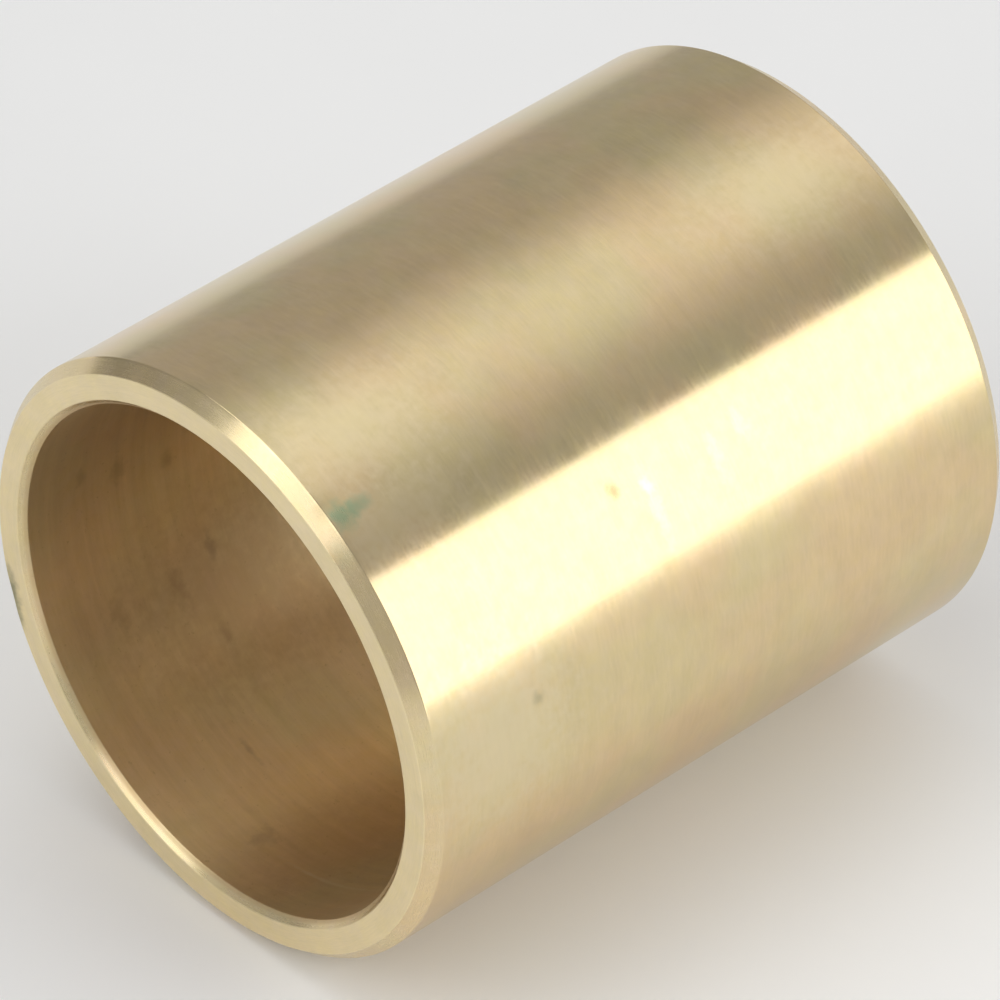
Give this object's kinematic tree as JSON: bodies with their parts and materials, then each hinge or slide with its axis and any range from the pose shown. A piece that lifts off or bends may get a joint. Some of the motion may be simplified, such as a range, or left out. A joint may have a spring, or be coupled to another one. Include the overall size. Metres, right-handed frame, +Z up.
{
  "type": "sleeve bushing",
  "caption": "Plain bronze sleeve bushing: a thin-walled turned tube with a smooth running bore, a press-fit outside and chamfered ends.",
  "frame": {"origin": "centre of the bore at half the bushing's length", "axes": "+Y along the bore's axis, from the near end face to the far end face; +Z up, with the bushing lying on its side"},
  "size_m": [0.042, 0.05, 0.042],
  "materials": {
    "bronze": "fine-turned and lightly polished outside, tarnished in the bore"
  },
  "bodies": {
    "root": {"bushing_sleeve": "bronze"}
  },
  "joints": []
}
